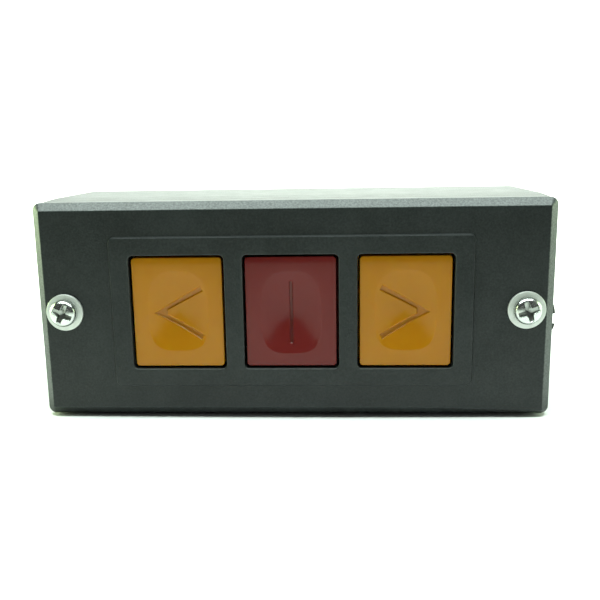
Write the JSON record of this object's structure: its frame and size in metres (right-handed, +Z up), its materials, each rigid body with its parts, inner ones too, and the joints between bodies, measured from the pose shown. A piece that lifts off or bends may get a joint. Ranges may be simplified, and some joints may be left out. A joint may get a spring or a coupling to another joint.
{
  "type": "push-button hand controller",
  "caption": "Black plastic hand controller with left and right arrow buttons round a red stop button, each a spring-loaded key over a double-break contact.",
  "frame": {"origin": "middle of the rear mounting face", "axes": "+Z up, +X along the housing towards the cable entry and the right arrow button, buttons facing -Y"},
  "size_m": [0.1085, 0.0407, 0.0438],
  "materials": {
    "housing_plastic": "fine moulded grain, satin black",
    "orange_plastic": "satin moulded orange",
    "red_plastic": "satin moulded red",
    "plated_steel": "bright nickel plate",
    "zinc_steel": "zinc plate",
    "spring_steel": "drawn wire",
    "brass": "stamped and turned brass",
    "silver": "silver contact alloy",
    "phenolic": "moulded phenolic, dark brown",
    "ivory_plastic": "moulded ivory plastic",
    "rubber": "matt black rubber"
  },
  "bodies": {
    "housing": {"base_box": "housing_plastic", "front_cover": "housing_plastic", "cover_screw_left": "plated_steel", "cover_screw_right": "plated_steel", "cover_washer_left": "plated_steel", "cover_washer_right": "plated_steel", "cover_insert_left": "brass", "cover_insert_right": "brass", "contact_block": "phenolic", "block_screws": "zinc_steel", "cable_bushing": "rubber", "left_return_spring": "spring_steel", "stop_return_spring": "spring_steel", "right_return_spring": "spring_steel", "left_fixed_contacts": "brass", "stop_fixed_contacts": "brass", "right_fixed_contacts": "brass", "left_fixed_tips": "silver", "stop_fixed_tips": "silver", "right_fixed_tips": "silver", "left_wire_clamps": "zinc_steel", "stop_wire_clamps": "zinc_steel", "right_wire_clamps": "zinc_steel", "left_terminal_screws": "zinc_steel", "stop_terminal_screws": "zinc_steel", "right_terminal_screws": "zinc_steel"},
    "left_key": {"left_button": "orange_plastic", "left_plunger": "ivory_plastic", "left_contact_bridge": "brass", "left_bridge_tips": "silver", "left_contact_spring": "spring_steel"},
    "stop_key": {"stop_button": "red_plastic", "stop_plunger": "ivory_plastic", "stop_contact_bridge": "brass", "stop_bridge_tips": "silver", "stop_contact_spring": "spring_steel"},
    "right_key": {"right_button": "orange_plastic", "right_plunger": "ivory_plastic", "right_contact_bridge": "brass", "right_bridge_tips": "silver", "right_contact_spring": "spring_steel"}
  },
  "joints": [
    {"name": "left_press", "type": "slide", "parent": "housing", "child": "left_key", "axis": [0, 1, 0], "range_m": [0, 0.003], "stiffness_N_per_m": 400, "springref_m": -0.0035, "deforming": ["left_return_spring"]},
    {"name": "stop_press", "type": "slide", "parent": "housing", "child": "stop_key", "axis": [0, 1, 0], "range_m": [0, 0.003], "stiffness_N_per_m": 400, "springref_m": -0.0035, "deforming": ["stop_return_spring"]},
    {"name": "right_press", "type": "slide", "parent": "housing", "child": "right_key", "axis": [0, 1, 0], "range_m": [0, 0.003], "stiffness_N_per_m": 400, "springref_m": -0.0035, "deforming": ["right_return_spring"]}
  ]
}
